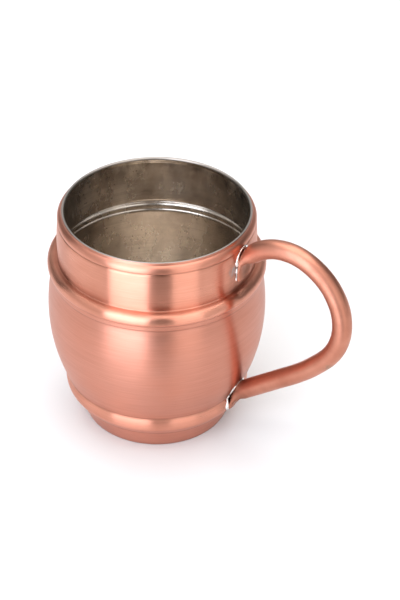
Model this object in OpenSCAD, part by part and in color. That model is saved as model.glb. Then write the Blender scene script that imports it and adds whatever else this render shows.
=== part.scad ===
// Barrel-shaped copper mug: a spun and beaded copper shell with a tinned
// inside, and a bent tube handle silver-soldered to it at two places.
// Millimetres, +Z up. The origin is the centre of the ring it stands on,
// and the handle points along +X.

/* [Body] */
// Overall height, from the table to the crown of the lip
mug_h = 99.6; // [98:0.1:104]
// Outer radius of the lip
lip_r = 39; // [38:0.1:40]
// Outer radius of the neck between the collar and the upper bead
neck_r = 40.7; // [40.2:0.1:41.3]
// Outer radius of the upper bead
upper_bead_r = 45.1; // [44.6:0.1:46]
// Height of the upper bead's top
upper_bead_h = 77.8; // [77.4:0.1:79]
// Outer radius where the belly meets the ridge under the upper bead
belly_top_r = 43.6; // [43.2:0.1:43.8]
// Radius of the belly's long curve, seen from the side
belly_bow_r = 80; // [70:1:80]
// Outer radius of the crease above the lower bead
waist_r = 38.1; // [37.8:0.1:38.4]
// Height of the crease above the lower bead
waist_h = 20.3; // [20:0.1:20.6]
// Outer radius of the edge that the mug stands on
base_r = 30.3; // [29:0.1:32]
// How far the underside is pushed up inside its standing ring
base_recess = 1.5; // [1:0.1:2]
// Thickness of the copper sheet
sheet = 1.1; // [0.9:0.1:1.2]
// Thickness of the tin lining
tin = 0.15; // [0.1:0.05:0.2]

/* [Handle] */
// Outer diameter of the handle tube
tube_d = 8; // [7:0.1:9]
// Wall thickness of the handle tube
tube_wall = 1.2; // [0.8:0.1:2]
// Height at which the tube's axis leaves the neck
handle_top_h = 89.8; // [88:0.1:91]
// Slope of the tube where it leaves the neck, in degrees above level
handle_rise = 41.5; // [38:0.5:44]
// Bend radius over the top of the handle
top_bend_r = 21.7; // [20:0.1:24]
// Bend radius round the lower outer corner of the handle
grip_bend_r = 28; // [26:0.1:30]

/* [Solder joints] */
// Width of a flattened tube end across the wall of the mug
foot_w = 10.4; // [9.6:0.1:12]
// How far a flattened tube end stands out from the wall
foot_t = 1.9; // [1.5:0.1:2.5]
// Width of the solder that shows round a tube end
solder_w = 0.9; // [0.5:0.1:1.5]
// Thickness of the solder on the wall
solder_t = 0.7; // [0.4:0.1:1]

/* [Hidden] */
$fn = 96;

// Curves are drawn with chords this close to the true arc
chord_error = 0.03;
// Thinnest rounding left on the inside of a fold in the sheet
least_fold_r = 0.2;
// Sides of the handle tube, and the most degrees of bend between its rings
tube_sides = 20;
bend_piece = 8;

// The sheet's outer face from the middle of the underside to the lip, as
// corners [radius, height, rounding]. The shell's crown is a little under
// mug_h, to leave room for the tin on top of it.
crown_h = mug_h - tin;
recess_r = base_r - 4.5;
ridge_w = 2.4;
bead_foot_h = upper_bead_h - 5.6;
crease_h = mug_h - 4.5;
score_depth = 0.4;
outer_corners = [
    [0, base_recess, 0],
    [recess_r - 1.5, base_recess, 1],
    [recess_r, 0, 1],
    [base_r, 0, 1.2],
    [34.4, 9.7, 0.6],
    [waist_r + 1.2, waist_h - 5, 7],
    [waist_r, waist_h, 0.5],
    [48.3, 43.6, belly_bow_r],
    [belly_top_r, bead_foot_h - ridge_w, 0.2],
    [belly_top_r + 0.45, bead_foot_h - ridge_w + 0.55, 0.4],
    [belly_top_r + 0.35, bead_foot_h, 0.4],
    [upper_bead_r, bead_foot_h + 1.1, 2],
    [upper_bead_r, upper_bead_h, 2.8],
    [neck_r, upper_bead_h - 0.4, 0.5],
    [neck_r + 0.5, (upper_bead_h + crease_h) / 2, 90],
    [neck_r - 0.1, crease_h, 0.5],
    [neck_r + 0.1, mug_h - 2.1, 2.6],
    [lip_r, mug_h - 1.05, 0.45],
    [lip_r, crown_h - sheet / 2, 0]
];
inner_corners = inset(outer_corners, sheet);
lining_corners = inset(inner_corners, tin);
// The lip is a half round, and the tin laps over it this many degrees
lip_centre = [lip_r - sheet / 2, crown_h - sheet / 2];
lip_step = 15;
tin_lap = 120;

// The handle's axis, as steps from the neck: [0, length] is a straight run
// and [bend radius, degrees] is a bend towards the table
into_wall = 6;
handle_steps = [
    [0, into_wall + 7.7],
    [top_bend_r, 64],
    [grip_bend_r, 107],
    [89, 13.5],
    [0, 38]
];
handle_start = [
    neck_r - into_wall * cos(handle_rise),
    handle_top_h - into_wall * sin(handle_rise),
    handle_rise
];

// Flattened tube ends, as [height of the low end, radius of its outer face
// there, height of the high end, radius there]
upper_foot = [81.6, neck_r + foot_t, 93.8, neck_r + foot_t];
lower_foot = [15.2, 38 + foot_t, 28, 41.6 + foot_t];

function flat(c) = [c[0], c[1]];
function unit(v) = v / norm(v);
function left_of(v) = [-v[1], v[0]];
function heading(c, i) = unit(flat(c[i + 1]) - flat(c[i]));

// Corner i of a path moved to the left of the path by distance t
function inset_corner(c, i, t) =
    let (last = len(c) - 1)
    let (a = left_of(heading(c, max(i - 1, 0))))
    let (b = left_of(heading(c, min(i, last - 1))))
    let (fold = cross(a, b))
    let (at = flat(c[i]) + t * (a + b) / (1 + a * b))
    let (bend_r = fold > 0 ? max(c[i][2] - t, least_fold_r) : c[i][2] + t)
    [at[0], at[1], c[i][2] == 0 ? 0 : bend_r];
function inset(c, t) = [for (i = [0:len(c) - 1]) inset_corner(c, i, t)];

// Points of the arc that rounds corner i of a path
function round_corner(c, i) =
    let (a = heading(c, i - 1), b = heading(c, i), r = c[i][2])
    let (fold = atan2(cross(a, b), a * b))
    let (side = sign(fold), half = abs(fold) / 2)
    let (centre = flat(c[i]) - r * tan(half) * a + side * r * left_of(a))
    let (steps = ceil(half / acos(1 - chord_error / r)))
    [for (k = [0:steps]) centre - side * r * left_of(turned(a, fold * k / steps))];
function turned(v, angle) =
    [v[0] * cos(angle) - v[1] * sin(angle), v[0] * sin(angle) + v[1] * cos(angle)];
function rounded(c) = [
    for (i = [0:len(c) - 1])
        each c[i][2] == 0 ? [flat(c[i])] : round_corner(c, i)
];
function reversed(p) = [for (i = [len(p) - 1:-1:0]) p[i]];

// The handle axis's [x, z, heading] after the first n steps
function along(n) =
    n == 0 ? handle_start : next(along(n - 1), handle_steps[n - 1]);
function next(at, step) =
    step[0] == 0
    ? [at[0] + step[1] * cos(at[2]), at[1] + step[1] * sin(at[2]), at[2]]
    : let (turn = at[2] - step[1])
      [
          at[0] + step[0] * (sin(at[2]) - sin(turn)),
          at[1] - step[0] * (cos(at[2]) - cos(turn)),
          turn
      ];

// Places along the handle's axis, as [x, z, heading]
function stations() = [
    handle_start,
    for (n = [0:len(handle_steps) - 1])
        let (step = handle_steps[n])
        let (pieces = step[0] == 0 ? 1 : ceil(step[1] / bend_piece))
        for (k = [1:pieces])
            next(along(n), [step[0], step[1] * k / pieces])
];
function ring(at, r) = [
    for (k = [0:tube_sides - 1])
        let (t = 360 * k / tube_sides)
        [at[0] - r * cos(t) * sin(at[2]), r * sin(t), at[1] + r * cos(t) * cos(at[2])]
];

// Points round the lip at distance r from its centre, from the inside (180
// degrees) over the crown to the angle given
function over_lip(r, angle) =
    [for (t = [180:-lip_step:angle]) lip_centre + r * [cos(t), sin(t)]];

// Everything inside the mug's outer face, for trimming what is joined to it
module filled_body() {
    rotate_extrude()
        polygon(concat(rounded(outer_corners), [[0, crown_h]]));
}

// The solid rod of radius r that follows the handle's axis
module bent_rod(r) {
    places = stations();
    last = len(places) - 1;
    n = tube_sides;
    polyhedron(
        points = [for (at = places) each ring(at, r)],
        faces = [
            [for (k = [n - 1:-1:0]) k],
            for (i = [0:last - 1], k = [0:n - 1])
                [i * n + k, i * n + (k + 1) % n, (i + 1) * n + (k + 1) % n, (i + 1) * n + k],
            [for (k = [0:n - 1]) last * n + k]
        ]
    );
}

// A pad on the mug's wall under a tube end, grown by an edge all round
module pad(foot, edge, drop) {
    low = foot[0] - edge;
    high = foot[2] + edge;
    w = foot_w + 2 * edge;
    corner_r = w / 3;
    intersection() {
        rotate_extrude()
            polygon([
                [0, low],
                [foot[1] - drop, low],
                [foot[3] - drop, high],
                [0, high]
            ]);
        rotate([90, 0, 90])
            linear_extrude(height = 2 * neck_r)
                pad_outline(w, low, high, corner_r);
    }
}

module pad_outline(w, low, high, corner_r) {
    translate([-w / 2, low + corner_r])
        square([w, high - low - 2 * corner_r]);
    for (z = [low + corner_r, high - corner_r]) {
        translate([-w / 2 + corner_r, z - corner_r])
            square([w - 2 * corner_r, 2 * corner_r]);
        for (y = [-1, 1])
            translate([y * (w / 2 - corner_r), z])
                circle(r = corner_r);
    }
}

// The sheet, with a line scored round the crease under its collar
module body_shell() {
    color("#c8846a")
        difference() {
            rotate_extrude()
                polygon(concat(
                    rounded(outer_corners),
                    reversed(concat(rounded(inner_corners), over_lip(sheet / 2, lip_step)))
                ));
            rotate_extrude()
                translate([neck_r - score_depth, crease_h])
                    polygon([[0, 0], [1, -0.8], [1, 0.8]]);
        }
}

module tin_lining() {
    color("#8f8175")
        rotate_extrude()
            polygon(concat(
                rounded(inner_corners),
                over_lip(sheet / 2, 180 - tin_lap),
                reversed(concat(
                    rounded(lining_corners),
                    over_lip(sheet / 2 + tin, 180 - tin_lap)
                ))
            ));
}

module handle_tube() {
    color("#c8846a")
        difference() {
            union() {
                bent_rod(tube_d / 2);
                pad(upper_foot, 0, 0);
                pad(lower_foot, 0, 0);
            }
            bent_rod(tube_d / 2 - tube_wall);
            filled_body();
        }
}

// Silver solder round one end of the handle
module solder_joint(foot) {
    color("#c9c6c0")
        difference() {
            pad(foot, solder_w, foot_t - solder_t);
            pad(foot, 0, 0);
            bent_rod(tube_d / 2);
            filled_body();
        }
}

module upper_solder_joint() {
    solder_joint(upper_foot);
}

module lower_solder_joint() {
    solder_joint(lower_foot);
}

body_shell();
tin_lining();
handle_tube();
upper_solder_joint();
lower_solder_joint();
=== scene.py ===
"""The looks of a barrel-shaped copper mug with a tinned inside and a soldered tube handle.

Lengths are in metres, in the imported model's frame, with +Z up and the handle along +X.
"""

import math

import bpy
from mathutils import Matrix, Vector, noise


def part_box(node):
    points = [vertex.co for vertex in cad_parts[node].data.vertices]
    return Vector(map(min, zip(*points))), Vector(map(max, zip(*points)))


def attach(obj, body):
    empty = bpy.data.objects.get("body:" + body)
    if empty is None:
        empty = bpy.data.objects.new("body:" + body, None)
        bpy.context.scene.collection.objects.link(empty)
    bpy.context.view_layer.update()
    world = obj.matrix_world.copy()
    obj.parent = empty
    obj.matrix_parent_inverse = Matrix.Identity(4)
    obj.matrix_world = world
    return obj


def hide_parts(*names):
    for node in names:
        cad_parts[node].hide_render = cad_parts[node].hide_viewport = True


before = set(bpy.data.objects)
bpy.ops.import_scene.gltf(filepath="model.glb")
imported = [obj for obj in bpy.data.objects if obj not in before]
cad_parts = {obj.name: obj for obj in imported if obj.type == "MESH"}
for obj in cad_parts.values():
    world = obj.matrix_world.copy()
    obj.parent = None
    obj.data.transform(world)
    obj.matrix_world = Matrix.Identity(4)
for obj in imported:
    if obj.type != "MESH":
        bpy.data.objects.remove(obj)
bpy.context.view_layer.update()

MM = 0.001


# ---------------------------------------------------------------- sizes

SHELL_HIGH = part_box("body_shell")[1]
LINING_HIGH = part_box("tin_lining")[1]
HANDLE_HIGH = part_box("handle_tube")[1]

# The body: heights are above the table, and radii are those of its outer face.
# The bead is the upper one, with a ridge under it, and the waist is the crease
# above the lower one. The crease under the collar is called just that. The
# shell ends at its crown, and the tin on the crown is the mug's top.
MUG_TOP = LINING_HIGH[2]
CROWN = SHELL_HIGH[2]
TIN = MUG_TOP - CROWN
SHEET = 1.1 * MM
LIP_R = 39 * MM
NECK_R = 40.7 * MM
BEAD_R = 45.1 * MM
BEAD_TOP = 77.8 * MM
BEAD_FOOT = BEAD_TOP - 5.6 * MM
RIDGE_FOOT = BEAD_FOOT - 2.4 * MM
BELLY_TOP_R = 43.6 * MM
BELLY_BOW_R = 80 * MM
WAIST_R = 38.1 * MM
WAIST_H = 20.3 * MM
LOWER_BEAD_FOOT = 9.7 * MM
BASE_R = 30.3 * MM
RECESS_R = BASE_R - 4.5 * MM
RECESS = 1.5 * MM
CREASE = MUG_TOP - 4.5 * MM

# The handle tube, half the width and thickness of its flattened ends, and the
# slope in degrees and the height at which its axis would leave the neck.
TUBE_R = 4 * MM
FOOT_HALF_W = HANDLE_HIGH[1] - 0.1 * MM
FOOT_HALF_T = 0.95 * MM
HANDLE_RISE = 41.5
HANDLE_H = 89.8 * MM

# The shell's outer face from the middle of the underside to the lip, as
# corners (radius, height, rounding).
OUTER_CORNERS = [
    (0, RECESS, 0),
    (RECESS_R - 1.5 * MM, RECESS, 1 * MM),
    (RECESS_R, 0, 1 * MM),
    (BASE_R, 0, 1.2 * MM),
    (34.4 * MM, LOWER_BEAD_FOOT, 0.6 * MM),
    (WAIST_R + 1.2 * MM, WAIST_H - 5 * MM, 7 * MM),
    (WAIST_R, WAIST_H, 0.5 * MM),
    (48.3 * MM, 43.6 * MM, BELLY_BOW_R),
    (BELLY_TOP_R, RIDGE_FOOT, 0.2 * MM),
    (BELLY_TOP_R + 0.45 * MM, RIDGE_FOOT + 0.55 * MM, 0.4 * MM),
    (BELLY_TOP_R + 0.35 * MM, BEAD_FOOT, 0.4 * MM),
    (BEAD_R, BEAD_FOOT + 1.1 * MM, 2 * MM),
    (BEAD_R, BEAD_TOP, 2.8 * MM),
    (NECK_R, BEAD_TOP - 0.4 * MM, 0.5 * MM),
    (NECK_R + 0.5 * MM, (BEAD_TOP + CREASE) / 2, 90 * MM),
    (NECK_R - 0.1 * MM, CREASE, 0.5 * MM),
    (NECK_R + 0.1 * MM, MUG_TOP - 2.1 * MM, 2.6 * MM),
    (LIP_R, MUG_TOP - 1.05 * MM, 0.45 * MM),
    (LIP_R, CROWN - SHEET / 2, 0),
]
# Thinnest rounding left on the inside of a fold in the sheet
LEAST_FOLD_R = 0.2 * MM

# Angles round the lip's centre, in degrees. The tin laps over it to TIN_EDGE.
LIP_INSIDE = 180
LIP_OUTSIDE = 0
TIN_EDGE = 60


# ---------------------------------------------------------------- outlines

def heading(corners, i):
    """The direction from corner i to the next."""
    a, b = corners[i], corners[i + 1]
    return Vector((b[0] - a[0], b[1] - a[1])).normalized()


def left_of(v):
    return Vector((-v.y, v.x))


def inset(corners, t):
    """The corners moved to the left of their path by t, with roundings to suit."""
    moved = []
    last = len(corners) - 1
    for i, (r, z, rounding) in enumerate(corners):
        a = left_of(heading(corners, max(i - 1, 0)))
        b = left_of(heading(corners, min(i, last - 1)))
        at = Vector((r, z)) + (a + b) * (t / (1 + a.dot(b)))
        if rounding:
            folds_in = a.cross(b) > 0
            rounding = max(rounding - t, LEAST_FOLD_R) if folds_in else rounding + t
        moved.append((at.x, at.y, rounding))
    return moved


def rounded(corners, chord=0.012 * MM, longest=3 * MM):
    """Points of the path with its corners rounded and its straights cut up."""
    points = []
    for i, (r, z, rounding) in enumerate(corners):
        if not rounding:
            points.append(Vector((r, z)))
            continue
        a, b = heading(corners, i - 1), heading(corners, i)
        fold = math.atan2(a.cross(b), a.dot(b))
        side = math.copysign(1, fold)
        half = abs(fold) / 2
        centre = Vector((r, z)) - a * (rounding * math.tan(half))
        centre += left_of(a) * side * rounding
        steps = math.ceil(half / math.acos(1 - chord / rounding))
        for k in range(steps + 1):
            turned = Matrix.Rotation(fold * k / steps, 2) @ a
            points.append(centre - left_of(turned) * side * rounding)
    return subdivided(points, longest)


def subdivided(points, longest):
    """The points with more between them, so that no gap is over the longest."""
    out = [points[0]]
    for a, b in zip(points, points[1:]):
        pieces = max(1, math.ceil((b - a).length / longest))
        out += [a.lerp(b, k / pieces) for k in range(1, pieces + 1)]
    return out


def over_lip(r, start, stop, steps=14):
    """Points at distance r from the lip's centre, between two angles in degrees."""
    centre = Vector((LIP_R - SHEET / 2, CROWN - SHEET / 2))
    turns = [math.radians(start + (stop - start) * k / steps) for k in range(steps + 1)]
    return [centre + Vector((math.cos(t), math.sin(t))) * r for t in turns]


INNER_CORNERS = inset(OUTER_CORNERS, SHEET)
LINING_CORNERS = inset(INNER_CORNERS, TIN)
OUTER = rounded(OUTER_CORNERS)
INNER = rounded(INNER_CORNERS)
LINING = rounded(LINING_CORNERS)


def scored(points, at, depth, half_width):
    """The outline with a V-shaped line pressed into it at height at."""
    out = []
    fresh = [at + half_width * k / 2 for k in range(-2, 3)]
    for a, b in zip(points, points[1:]):
        out.append(a)
        if b.y > a.y:
            out += [a.lerp(b, (z - a.y) / (b.y - a.y)) for z in fresh if a.y < z < b.y]
    out.append(points[-1])
    pressed = [depth * max(0, 1 - abs(p.y - at) / half_width) for p in out]
    return [Vector((p.x - in_by, p.y)) for p, in_by in zip(out, pressed)]


def wall_radius(z):
    """Outer radius of the mug at height z."""
    for a, b in zip(OUTER, OUTER[1:]):
        if a.y <= z <= b.y and b.y > a.y:
            return a.x + (b.x - a.x) * (z - a.y) / (b.y - a.y)
    return LIP_R


# ---------------------------------------------------------------- meshes

def placed(name, data):
    """A new object in the scene that holds the data."""
    made = bpy.data.objects.new(name, data)
    bpy.context.scene.collection.objects.link(made)
    return made


def new_piece(name, vertices, faces, node, material):
    """A smooth piece of the mug, in place of its CAD node."""
    mesh = bpy.data.meshes.new(name)
    mesh.from_pydata([tuple(v) for v in vertices], [], faces)
    mesh.validate()
    mesh.polygons.foreach_set("use_smooth", [True] * len(mesh.polygons))
    mesh.materials.append(material)
    piece = placed(name, mesh)
    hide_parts(node)
    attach(piece, "root")
    return piece


# The unevenness of a hand-finished wall, as (depth, how often it changes
# round the mug, height over which it changes).
WALL_WAVES = [(0.045 * MM, 1.4, 16 * MM), (0.012 * MM, 5, 7 * MM)]
# Points of an outline nearer than this to the axis are taken to be on it.
ON_AXIS = 1e-7


def hand_spun(angle, z):
    """How far the wall stands out of true at an angle and height."""
    total = 0
    for depth, rate, rise in WALL_WAVES:
        at = Vector((math.cos(angle) * rate, math.sin(angle) * rate, z / rise))
        total += depth * noise.noise(at)
    return total


def lathe(name, outline, node, material, segments=320):
    """An outline turned about Z. Points on the axis become one vertex each."""
    vertices, rows = [], []
    for p in outline:
        if p.x < ON_AXIS:
            rows.append([len(vertices)] * segments)
            vertices.append(Vector((0, 0, p.y)))
            continue
        rows.append(range(len(vertices), len(vertices) + segments))
        for k in range(segments):
            angle = 2 * math.pi * k / segments
            r = p.x + hand_spun(angle, p.y) * min(1, p.x / RECESS_R)
            vertices.append(Vector((r * math.cos(angle), r * math.sin(angle), p.y)))
    faces = []
    for i in range(len(rows)):
        low, high = rows[i], rows[(i + 1) % len(rows)]
        for k in range(segments):
            n = (k + 1) % segments
            corner = dict.fromkeys((low[k], low[n], high[n], high[k]))
            if len(corner) > 2:
                faces.append(tuple(corner))
    new_piece(name, vertices, faces, node, material)


def make_shell(material):
    """The copper sheet, with a line scored under its collar and a half-round lip."""
    outline = scored(OUTER, CREASE, depth=0.22 * MM, half_width=0.35 * MM)
    outline += over_lip(SHEET / 2, LIP_OUTSIDE, LIP_INSIDE)[1:-1] + INNER[::-1]
    lathe("copper_shell", outline, "body_shell", material)


def make_lining(material):
    """The tin over the inside of the sheet, lapped over its lip."""
    outline = INNER + over_lip(SHEET / 2, LIP_INSIDE, TIN_EDGE)[1:]
    outline += over_lip(SHEET / 2 + TIN, TIN_EDGE, LIP_INSIDE)[:-1] + LINING[::-1]
    lathe("tinned_inside", outline, "tin_lining", material)


# The handle from the low edge of its upper foot to that of its lower foot, as
# steps in mm: (bend radius, degrees towards the table), or (0, length) for a
# straight. After its upper foot it runs over the top and round the grip, and
# then down to its lower foot.
FOOT_BEND = 6
FOOT_LOW = 81.8 * MM
UPPER_TURN = 90 - HANDLE_RISE
LOWER_TURN = 37.3
SETBACK = FOOT_BEND * math.tan(math.radians(UPPER_TURN / 2))
FOOT_CORNER = HANDLE_H + FOOT_HALF_T * math.tan(math.radians(HANDLE_RISE))
NECK_TO_FOOT = FOOT_HALF_T / MM / math.cos(math.radians(HANDLE_RISE))
HANDLE_STEPS = [
    (0, (FOOT_CORNER - FOOT_LOW) / MM - SETBACK),
    (FOOT_BEND, UPPER_TURN),
    (0, 7.7 - NECK_TO_FOOT - SETBACK),
    (21.7, 64),
    (28, 107),
    (89, 13.5),
    (0, 27.9),
    (FOOT_BEND, -LOWER_TURN),
    (0, 5.4),
]

# Each end is flat for the first length, in mm, and eases to a full tube over
# the second.
UPPER_FLAT, UPPER_EASE = 5, 9.5
LOWER_FLAT, LOWER_EASE = 2.5, 6.5
# The lower end is wider by this share, fading out over a length in mm.
LOWER_SPREAD, SPREAD_LENGTH = 0.1, 6
# A flat end is squarer than an oval, with a dish pressed into its outer side:
# the dish's share of the thickness, and its half width as a share of the end's.
BOXINESS = 0.35
DISH_DEPTH, DISH_HALF_W = 0.55, 0.5
# The tube's unevenness, as (depth, size), and the share of it that is pressed
# out of the flat ends.
TUBE_WAVES = [(0.06 * MM, 6 * MM), (0.015 * MM, 2.2 * MM)]
PRESSED_OUT = 0.5
# How far the handle dips into the mug's wall where they meet
SUNK = 0.25 * MM


def handle_axis(step_length=0.8 * MM):
    """Places (point, heading) along the middle of the tube, from foot to foot."""
    at, turn = Vector((NECK_R + FOOT_HALF_T, 0, FOOT_LOW)), math.radians(90)
    places = [(at.copy(), turn)]
    for radius, amount in HANDLE_STEPS:
        length = abs(radius * math.radians(amount)) if radius else amount
        pieces = math.ceil(length * MM / step_length)
        for _ in range(pieces):
            bend = math.radians(amount) / pieces if radius else 0
            turn -= bend / 2
            at = at + Vector((math.cos(turn), 0, math.sin(turn))) * (length * MM / pieces)
            turn -= bend / 2
            places.append((at.copy(), turn))
    return places


def smooth(x):
    """A gentle step from 0 to 1 as x goes from 0 to 1."""
    x = min(max(x, 0), 1)
    return x * x * (3 - 2 * x)


def tube_section(flat, dented_side, sides):
    """Points (across, out) round the tube: a circle that flattens to a dished bar."""
    half_w = TUBE_R + (FOOT_HALF_W - TUBE_R) * flat
    half_t = TUBE_R + (FOOT_HALF_T - TUBE_R) * flat
    boxy = 1 - BOXINESS * flat
    points = []
    for k in range(sides):
        t = 2 * math.pi * k / sides
        across = math.copysign(abs(math.sin(t)) ** boxy, math.sin(t)) * half_w
        out = math.copysign(abs(math.cos(t)) ** boxy, math.cos(t)) * half_t
        if out * dented_side > 0:
            out *= 1 - DISH_DEPTH * flat * math.exp(-((across / half_w) / DISH_HALF_W) ** 2)
        points.append((across, out))
    return points


def outside_wall(p):
    """The point, moved out along X if it would be too deep in the mug's wall."""
    least = wall_radius(p.z) - SUNK
    if math.hypot(p.x, p.y) < least:
        return Vector((math.sqrt(least ** 2 - p.y ** 2), p.y, p.z))
    return p


def make_handle(material, sides=48):
    """The bent tube, flattened and dished at both ends and fitted to the wall."""
    places = handle_axis()
    steps = [(b[0] - a[0]).length for a, b in zip(places, places[1:])]
    total = sum(steps)
    gone = 0
    vertices = []
    for (at, turn), step in zip(places, steps + [0]):
        from_top, from_low = gone / MM, (total - gone) / MM
        flat = 1 - min(
            smooth((from_top - UPPER_FLAT) / UPPER_EASE),
            smooth((from_low - LOWER_FLAT) / LOWER_EASE),
        )
        dented_side = -1 if from_top < from_low else 1
        up = Vector((-math.sin(turn), 0, math.cos(turn)))
        for across, out in tube_section(flat, dented_side, sides):
            across *= 1 + LOWER_SPREAD * (1 - smooth(from_low / SPREAD_LENGTH))
            p = at + up * out + Vector((0, across, 0))
            wave = sum(depth * noise.noise(p / size) for depth, size in TUBE_WAVES)
            p += (p - at).normalized() * wave * (1 - PRESSED_OUT * flat)
            p.x -= flat * (NECK_R - math.sqrt(NECK_R ** 2 - across ** 2))
            vertices.append(outside_wall(p))
        gone += step
    faces = []
    for i in range(len(places) - 1):
        for k in range(sides):
            n = (k + 1) % sides
            low, high = i * sides, (i + 1) * sides
            faces.append((low + k, high + k, high + n, low + n))
    last = len(vertices)
    faces.append(tuple(range(sides)))
    faces.append(tuple(reversed(range(last - sides, last))))
    piece = new_piece("bent_handle", vertices, faces, "handle_tube", material)
    bevel = piece.modifiers.new("worn_edges", "BEVEL")
    bevel.width = 0.25 * MM
    bevel.segments = 3
    bevel.limit_method = "ANGLE"
    bevel.angle_limit = math.radians(50)


# The solder's fillet: its size in mm, how that varies, as (amount, distance),
# and how far it spreads along the wall and rises from it for its size.
FILLET = 0.5
FILLET_WAVES = [(0.22, 2.5 * MM), (0.1, 0.8 * MM)]
FILLET_SPREAD, FILLET_RISE = 1.3, 0.8
# A blob of solder: how much larger the fillet is there, and how far that reaches
BLOB, BLOB_REACH = 0.45, 1.1 * MM


def joint_outline(low, middle, high, half_w, flare, count=140):
    """A closed loop (across, height) round a foot: arched above, square below."""
    corner = 0.8 * MM
    arch_steps = 24
    wide = half_w + flare
    run = [(half_w, middle), (wide, low + corner), (wide - corner, low)]
    run += [(-wide + corner, low), (-wide, low + corner), (-half_w, middle)]
    turns = [math.pi * (1 - k / arch_steps) for k in range(1, arch_steps)]
    run += [(half_w * math.cos(t), middle + (high - middle) * math.sin(t)) for t in turns]
    loop = [Vector(p) for p in run]
    edges = list(zip(loop, loop[1:] + loop[:1]))
    total = sum((b - a).length for a, b in edges)
    out = []
    for k in range(count):
        left = total * k / count
        for a, b in edges:
            if left <= (b - a).length:
                out.append(a.lerp(b, left / (b - a).length))
                break
            left -= (b - a).length
    return out


def on_wall(across, height):
    """The point of the mug's outer face at a distance across from the handle's middle."""
    r = wall_radius(height)
    return Vector((math.sqrt(r * r - across * across), across, height))


def make_solder(name, node, outline, blob_at, material, sides=14):
    """An uneven fillet of solder along an outline on the wall, thicker at the blob."""
    loop = [on_wall(p.x, p.y) for p in outline]
    count = len(loop)
    vertices = []
    for i, at in enumerate(loop):
        along = (loop[(i + 1) % count] - loop[i - 1]).normalized()
        out = Vector((at.x, at.y, 0)).normalized()
        out = (out - along * out.dot(along)).normalized()
        side = along.cross(out)
        size = FILLET + sum(amount * noise.noise(at / far) for amount, far in FILLET_WAVES)
        size += BLOB * math.exp(-((at - blob_at).length / BLOB_REACH) ** 2)
        for k in range(sides):
            t = 2 * math.pi * k / sides
            spread = side * math.cos(t) * FILLET_SPREAD + out * math.sin(t) * FILLET_RISE
            vertices.append(at + spread * size * MM)
    faces = []
    for i in range(count):
        j = (i + 1) % count
        for k in range(sides):
            n = (k + 1) % sides
            faces.append((i * sides + k, i * sides + n, j * sides + n, j * sides + k))
    new_piece(name, vertices, faces, node, material)


def make_joints(material):
    """The solder round both feet of the handle, each with a blob at its left."""
    upper = joint_outline(
        low=81.6 * MM, middle=89.8 * MM, high=95 * MM, half_w=4.7 * MM, flare=0.4 * MM
    )
    lower = joint_outline(
        low=15.4 * MM, middle=22.6 * MM, high=27.6 * MM, half_w=4.5 * MM, flare=1.1 * MM
    )
    upper_blob = on_wall(-5 * MM, 90 * MM)
    lower_blob = on_wall(-5.4 * MM, 16.2 * MM)
    make_solder("upper_solder", "upper_solder_joint", upper, upper_blob, material)
    make_solder("lower_solder", "lower_solder_joint", lower, lower_blob, material)


# ---------------------------------------------------------------- materials

# A quarter of a turn, as the shader counts the direction of brush marks
QUARTER_TURN = 0.25


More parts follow.
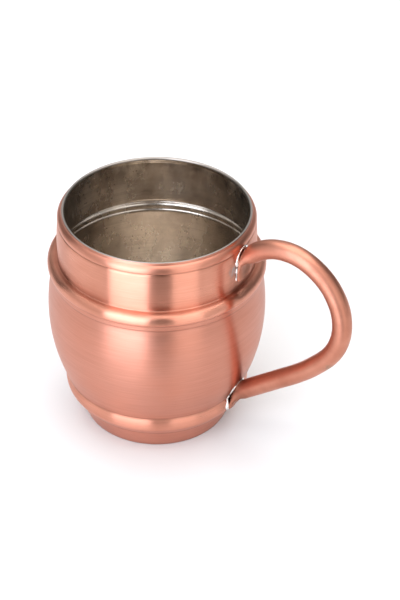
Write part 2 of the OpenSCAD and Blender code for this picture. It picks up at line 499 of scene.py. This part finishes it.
class Nodes:
    """Short calls for building one material's node tree."""

    def __init__(self, name):
        self.material = bpy.data.materials.new(name)
        self.material.use_nodes = True
        self.tree = self.material.node_tree
        self.shader = self.tree.nodes["Principled BSDF"]
        self.place = self.node("ShaderNodeTexCoord").outputs["Object"]

    def node(self, kind, **settings):
        made = self.tree.nodes.new(kind)
        for key, value in settings.items():
            setattr(made, key, value)
        return made

    def join(self, source, target):
        self.tree.links.new(source, target)

    def set(self, **values):
        """Set the shader's own sockets, named with _ for a space."""
        for key, value in values.items():
            self.shader.inputs[key.replace("_", " ")].default_value = value

    def noise(self, scale, detail=4, roughness=0.55):
        """Noise whose grain is scale times per metre along X, Y and Z."""
        stretch = self.node("ShaderNodeVectorMath", operation="MULTIPLY")
        stretch.inputs[1].default_value = scale
        self.join(self.place, stretch.inputs[0])
        texture = self.node("ShaderNodeTexNoise")
        texture.inputs["Scale"].default_value = 1
        texture.inputs["Detail"].default_value = detail
        texture.inputs["Roughness"].default_value = roughness
        self.join(stretch.outputs[0], texture.inputs["Vector"])
        return texture.outputs[0]

    def ramp(self, value, low, high, to_low=0, to_high=1):
        """The value mapped from low..high to to_low..to_high, and held at the ends."""
        ranged = self.node("ShaderNodeMapRange")
        for i, setting in enumerate((low, high, to_low, to_high)):
            ranged.inputs[i + 1].default_value = setting
        self.join(value, ranged.inputs[0])
        return ranged.outputs[0]

    def math(self, operation, a, b):
        """Arithmetic on a and b; each is a number or a socket."""
        made = self.node("ShaderNodeMath", operation=operation)
        for i, value in enumerate((a, b)):
            if isinstance(value, (int, float)):
                made.inputs[i].default_value = value
            else:
                self.join(value, made.inputs[i])
        return made.outputs[0]

    def mix(self, amount, a, b):
        """Colour a turning into colour b; each is a colour or a socket."""
        made = self.node("ShaderNodeMix", data_type="RGBA")
        self.join(amount, made.inputs[0])
        for index, colour in ((6, a), (7, b)):
            if isinstance(colour, tuple):
                made.inputs[index].default_value = (*colour, 1)
            else:
                self.join(colour, made.inputs[index])
        return made.outputs[2]

    def height(self):
        """Height above the table."""
        split = self.node("ShaderNodeSeparateXYZ")
        self.join(self.place, split.inputs[0])
        return split.outputs[2]

    def near_heights(self, places):
        """1 at each (height, half width) and 0 beyond the half width."""
        z = self.height()
        total = None
        for height, half_width in places:
            away = self.math("ABSOLUTE", self.math("SUBTRACT", z, height), 0)
            close = self.ramp(away, 0, half_width, 1, 0)
            total = close if total is None else self.math("MAXIMUM", total, close)
        return total

    def near_point(self, point, inner, outer):
        """1 within inner of a point and 0 beyond outer."""
        away = self.node("ShaderNodeVectorMath", operation="DISTANCE")
        away.inputs[1].default_value = point
        self.join(self.place, away.inputs[0])
        return self.ramp(away.outputs["Value"], inner, outer, 1, 0)

    def bump(self, height, strength, distance):
        """Relief on the surface, where height is a socket and distance its depth."""
        made = self.node("ShaderNodeBump")
        made.inputs["Strength"].default_value = strength
        made.inputs["Distance"].default_value = distance
        self.join(height, made.inputs["Height"])
        self.join(made.outputs[0], self.shader.inputs["Normal"])

    def turned_about_z(self):
        """Brush marks that run round the mug, so that reflections stretch up and down."""
        tangent = self.node("ShaderNodeTangent", direction_type="RADIAL", axis="Z")
        self.join(tangent.outputs[0], self.shader.inputs["Tangent"])
        self.set(Anisotropic_Rotation=QUARTER_TURN)


# Copper on the body: the dull brushed copper, and a lighter copy of it on the polished
# bands that is painted highlight
DULL_DARK, DULL_LIGHT = (0.55, 0.23, 0.16), (0.62, 0.275, 0.2)
POLISHED_SHEEN_DARK, POLISHED_SHEEN_LIGHT = (0.7, 0.3, 0.205), (0.78, 0.35, 0.25)
RED_PATCH = (0.66, 0.25, 0.16)
HAIRLINE = (0.52, 0.2, 0.13)
# Copper on the handle, and what stains both; the brown is also the painted shade in the
# body's creases
TUBE_LIGHT, TUBE_DARK = (0.58, 0.25, 0.17), (0.47, 0.185, 0.12)
BROWN = (0.2, 0.085, 0.05)
TARNISH = (0.12, 0.13, 0.08)
SOLDER_SMEAR = (0.36, 0.34, 0.33)
# Tin inside
TIN_DARK, TIN_LIGHT = (0.5, 0.44, 0.385), (0.85, 0.76, 0.66)
TIN_RING = (0.36, 0.3, 0.25)
TIN_PIT = (0.12, 0.1, 0.085)
TIN_DARKER_HIGH = (0.22, 0.18, 0.15)
TIN_LIP = (0.36, 0.32, 0.29)
# Solder
SOLDER, FLUX = (0.9, 0.88, 0.85), (0.2, 0.17, 0.15)

# The polished parts of the body, as (height, half width). Their copper is also painted
# lighter there, as painted highlight.
POLISH_AND_SHEEN_BANDS = [(86 * MM, 13 * MM), (BEAD_TOP - 2 * MM, 4 * MM), (17 * MM, 4 * MM)]
# Where the body's creases and its edge on the table are darkened as painted shade, as
# (height, half width)
CREASES = [
    (CREASE, 0.5 * MM),
    (BEAD_TOP - 0.45 * MM, 0.55 * MM),
    (BEAD_FOOT + 0.1 * MM, 0.6 * MM),
    (RIDGE_FOOT - 0.1 * MM, 0.5 * MM),
    (WAIST_H, 0.9 * MM),
    (LOWER_BEAD_FOOT, 0.5 * MM),
    (0, 1.6 * MM),
]
# Middles of the stains: heat on the body round each joint, solder smeared
# beside the upper one, heat on each foot, and tarnish low on the handle
UPPER_HEAT = (NECK_R, 0, 88 * MM)
LOWER_HEAT = (WAIST_R, 0, 22 * MM)
SMEAR_AT = (NECK_R - 0.7 * MM, -6.9 * MM, 87.5 * MM)
UPPER_FOOT_HEAT = (42.5 * MM, 0, 87 * MM)
LOWER_FOOT_HEAT = (40 * MM, 0, 20 * MM)
TARNISH_AT = (HANDLE_HIGH[0] - 6 * MM, -3 * MM, 52 * MM)


def body_copper():
    """Spun copper: fine rings of brushing, painted shade in the creases, painted highlight
    on the polished bands, and heat stains by the joints.
    """
    m = Nodes("body_copper")
    m.set(Metallic=1)
    m.turned_about_z()
    hair = m.noise((70, 70, 5200), detail=3)
    streak = m.noise((60, 60, 1900), detail=4, roughness=0.6)
    patch = m.noise((38, 38, 55), detail=5)
    # The polished bands get lower roughness and more anisotropy, and a lighter copper that
    # is painted highlight
    polished = m.ramp(m.near_heights(POLISH_AND_SHEEN_BANDS), 0, 0.3)
    dull = m.mix(m.ramp(streak, 0.3, 0.72), DULL_DARK, DULL_LIGHT)
    # A lighter copy of the copper on the polished bands, as painted highlight
    polished_sheen = m.mix(m.ramp(streak, 0.3, 0.72), POLISHED_SHEEN_DARK, POLISHED_SHEEN_LIGHT)
    colour = m.mix(polished, dull, polished_sheen)
    colour = m.mix(m.ramp(patch, 0.42, 0.72, 0, 0.4), colour, RED_PATCH)
    colour = m.mix(m.ramp(hair, 0.56, 0.72, 0, 0.16), colour, HAIRLINE)
    # Painted shade: the creases and the edge on the table are darkened towards brown, in
    # patches
    crease_shade = m.near_heights(CREASES)
    crease_shade = m.math("MULTIPLY", crease_shade, m.ramp(patch, 0.3, 0.62, 0.15, 0.55))
    heat = m.math(
        "MAXIMUM",
        m.near_point(UPPER_HEAT, 4.5 * MM, 13 * MM),
        m.near_point(LOWER_HEAT, 4.5 * MM, 13 * MM),
    )
    heat = m.math("MULTIPLY", heat, m.ramp(m.noise((260, 260, 260)), 0.35, 0.65, 0.25, 0.8))
    colour = m.mix(m.math("MAXIMUM", crease_shade, heat), colour, BROWN)
    smear = m.near_point(SMEAR_AT, 1.2 * MM, 3.4 * MM)
    smear = m.math("MULTIPLY", smear, m.ramp(m.noise((900, 900, 350)), 0.4, 0.6, 0.1, 0.9))
    colour = m.mix(smear, colour, SOLDER_SMEAR)
    m.join(colour, m.shader.inputs["Base Color"])
    m.join(m.ramp(polished, 0, 1, 0.72, 1), m.shader.inputs["Anisotropic"])
    roughness = m.ramp(polished, 0, 1, 0.38, 0.31)
    roughness = m.math("ADD", roughness, m.ramp(hair, 0.3, 0.7, -0.04, 0.04))
    roughness = m.math("ADD", roughness, m.ramp(patch, 0.35, 0.7, -0.02, 0.04))
    m.join(roughness, m.shader.inputs["Roughness"])
    m.bump(m.math("ADD", hair, m.math("MULTIPLY", streak, 2)), 0.18, 0.02 * MM)
    return m.material


def handle_copper():
    """Bent tube: polished along its length, stained at its feet and low down."""
    m = Nodes("handle_copper")
    m.set(Metallic=1)
    patch = m.noise((90, 90, 90), detail=6)
    scratch = m.noise((900, 2600, 900), detail=3)
    colour = m.mix(m.ramp(patch, 0.35, 0.7), TUBE_LIGHT, TUBE_DARK)
    feet = m.math(
        "MAXIMUM",
        m.near_point(UPPER_FOOT_HEAT, 3 * MM, 8 * MM),
        m.near_point(LOWER_FOOT_HEAT, 3 * MM, 9 * MM),
    )
    feet = m.math("MULTIPLY", feet, m.ramp(patch, 0.35, 0.62, 0.4, 0.85))
    colour = m.mix(feet, colour, BROWN)
    spot = m.near_point(TARNISH_AT, 1 * MM, 4.5 * MM)
    spot = m.math("MULTIPLY", spot, m.ramp(m.noise((420, 420, 420)), 0.4, 0.6, 0.1, 0.8))
    colour = m.mix(spot, colour, TARNISH)
    m.join(colour, m.shader.inputs["Base Color"])
    roughness = m.ramp(patch, 0.3, 0.7, 0.36, 0.5)
    roughness = m.math("ADD", roughness, m.ramp(feet, 0, 1, 0, 0.2))
    m.join(roughness, m.shader.inputs["Roughness"])
    m.bump(m.math("ADD", scratch, m.math("MULTIPLY", patch, 3)), 0.15, 0.03 * MM)
    return m.material


def tinning():
    """Wiped tin: cloudy, pitted and darker in patches towards the top, with faint rings."""
    m = Nodes("tinning")
    m.set(Metallic=1, Anisotropic=0.6)
    m.turned_about_z()
    cloud = m.noise((70, 70, 45), detail=7, roughness=0.65)
    rings = m.noise((18, 18, 1500), detail=3)
    colour = m.mix(m.ramp(cloud, 0.35, 0.68), TIN_DARK, TIN_LIGHT)
    colour = m.mix(m.ramp(rings, 0.5, 0.75, 0, 0.45), colour, TIN_RING)
    pits = m.node("ShaderNodeTexVoronoi")
    pits.inputs["Scale"].default_value = 330
    m.join(m.place, pits.inputs["Vector"])
    pitted = m.ramp(pits.outputs["Distance"], 0.07, 0.17, 0.8, 0)
    pitted = m.math("MULTIPLY", pitted, m.ramp(cloud, 0.5, 0.6))
    colour = m.mix(pitted, colour, TIN_PIT)
    # Darker towards the top of the inside, in noisy patches
    high = m.ramp(m.height(), 84 * MM, 92 * MM, 0, 0.75)
    stains = m.math("MULTIPLY", high, m.ramp(m.noise((120, 120, 60), detail=6), 0.42, 0.6))
    colour = m.mix(stains, colour, TIN_DARKER_HIGH)
    lip = m.ramp(m.height(), MUG_TOP - 1.1 * MM, MUG_TOP - 0.5 * MM)
    colour = m.mix(lip, colour, TIN_LIP)
    m.join(colour, m.shader.inputs["Base Color"])
    roughness = m.ramp(cloud, 0.3, 0.7, 0.2, 0.32)
    roughness = m.math("ADD", roughness, m.ramp(lip, 0, 1, 0, 0.12))
    m.join(roughness, m.shader.inputs["Roughness"])
    m.bump(m.math("ADD", rings, m.math("MULTIPLY", cloud, 2)), 0.2, 0.04 * MM)
    return m.material


def silver_solder():
    """Bright run solder with flux-darkened patches."""
    m = Nodes("silver_solder")
    m.set(Metallic=1)
    patch = m.noise((520, 520, 520), detail=5)
    colour = m.mix(m.ramp(patch, 0.5, 0.66), SOLDER, FLUX)
    m.join(colour, m.shader.inputs["Base Color"])
    m.join(m.ramp(patch, 0.35, 0.7, 0.16, 0.45), m.shader.inputs["Roughness"])
    m.bump(patch, 0.3, 0.08 * MM)
    return m.material


# ---------------------------------------------------------------- studio

# The camera's place, seen from the mug, and the small turns, in degrees, that
# put the mug where it should be in the picture
VIEW_AZIMUTH = math.radians(32)
VIEW_RISE = math.radians(36.4)
VIEW_DISTANCE = 0.9
LOOK_AT = Vector((0, 0, 0.05))
LENS_MM = 128.9
TURN_ASIDE = -1.147
TURN_UP = 0.176

# Each light box: degrees round from the camera and above level, distance,
# width, height, watts and, if it isn't white, its colour. The tall boxes reach
# below the table's level, because the neck mirrors what is below it.
LIGHT_BOXES = {
    "left_box": (-30, 10, 1.6, 1.27, 2.8, 44, (0.92, 1, 1.12)),
    "right_box": (30.5, 10, 1.6, 0.88, 2.8, 12),
    "left_side_box": (-80, 10, 1.6, 1.5, 2.8, 9),
    "right_side_box": (66, 10, 1.6, 1.1, 2.8, 6.5),
    "top_box": (180, 86, 1.7, 2.1, 2.1, 42),
    "back_box": (180, 32, 1.8, 2.4, 1.2, 7),
}
# The strength of the even white light from everywhere else
WORLD_LIGHT = 0.12

# The round table reaches this far from the mug towards the camera, so that it
# ends below the picture and the neck mirrors its edge. Its middle is this far
# behind the mug. It is a pale grey that glows a little.
TABLE_FRONT = 0.16
TABLE_BACK = 0.9
TABLE_SIDES = 128
TABLE_GREY = 0.72
TABLE_GLOW = 0.08


def toward(azimuth, rise):
    """Unit vector from the mug to a place round it, counted from the camera's side."""
    a = VIEW_AZIMUTH + azimuth
    level = math.cos(rise)
    return Vector((math.sin(a) * level, -math.cos(a) * level, math.sin(rise)))


def make_camera():
    """The camera, aimed at the mug and then turned a little."""
    data = bpy.data.cameras.new("camera")
    data.lens = LENS_MM
    data.clip_end = 20
    camera = placed("camera", data)
    eye = LOOK_AT + toward(0, VIEW_RISE) * VIEW_DISTANCE
    facing = (LOOK_AT - eye).to_track_quat("-Z", "Y").to_matrix().to_4x4()
    aside = Matrix.Rotation(math.radians(TURN_ASIDE), 4, "Y")
    up = Matrix.Rotation(math.radians(TURN_UP), 4, "X")
    camera.matrix_world = Matrix.Translation(eye) @ facing @ aside @ up
    bpy.context.scene.camera = camera


def soft_box(name, azimuth, rise, distance, width, height, power, colour=(1, 1, 1)):
    """A flat lamp that faces the mug, placed by its angles from the camera's side."""
    data = bpy.data.lights.new(name, "AREA")
    data.shape = "RECTANGLE"
    data.size, data.size_y = width, height
    data.energy = power
    data.color = colour
    light = placed(name, data)
    at = LOOK_AT + toward(math.radians(azimuth), math.radians(rise)) * distance
    light.location = at
    light.rotation_euler = (LOOK_AT - at).to_track_quat("-Z", "Y").to_euler()


def make_floor():
    """The table, as one flat disc."""
    mesh = bpy.data.meshes.new("floor")
    middle = toward(0, 0) * -TABLE_BACK
    radius = TABLE_BACK + TABLE_FRONT
    rim = []
    for k in range(TABLE_SIDES):
        t = 2 * math.pi * k / TABLE_SIDES
        rim.append(middle + Vector((math.cos(t), math.sin(t), 0)) * radius)
    mesh.from_pydata([tuple(p) for p in rim], [], [tuple(range(TABLE_SIDES))])
    material = bpy.data.materials.new("floor")
    material.use_nodes = True
    shader = material.node_tree.nodes["Principled BSDF"]
    shader.inputs["Base Color"].default_value = (TABLE_GREY, TABLE_GREY, TABLE_GREY, 1)
    shader.inputs["Roughness"].default_value = 0.9
    shader.inputs["Specular IOR Level"].default_value = 0
    shader.inputs["Emission Color"].default_value = (1, 1, 1, 1)
    shader.inputs["Emission Strength"].default_value = TABLE_GLOW
    mesh.materials.append(material)
    floor = placed("floor", mesh)


def make_studio():
    """The camera, the table and all the light."""
    make_camera()
    make_floor()
    world = bpy.data.worlds.new("world")
    world.use_nodes = True
    background = world.node_tree.nodes["Background"]
    background.inputs["Color"].default_value = (1, 1, 1, 1)
    background.inputs["Strength"].default_value = WORLD_LIGHT
    scene = bpy.context.scene
    scene.world = world
    scene.view_settings.view_transform = "Standard"
    for name, settings in LIGHT_BOXES.items():
        soft_box(name, *settings)


# ---------------------------------------------------------------- the mug

make_shell(body_copper())
make_lining(tinning())
make_handle(handle_copper())
make_joints(silver_solder())
make_studio()
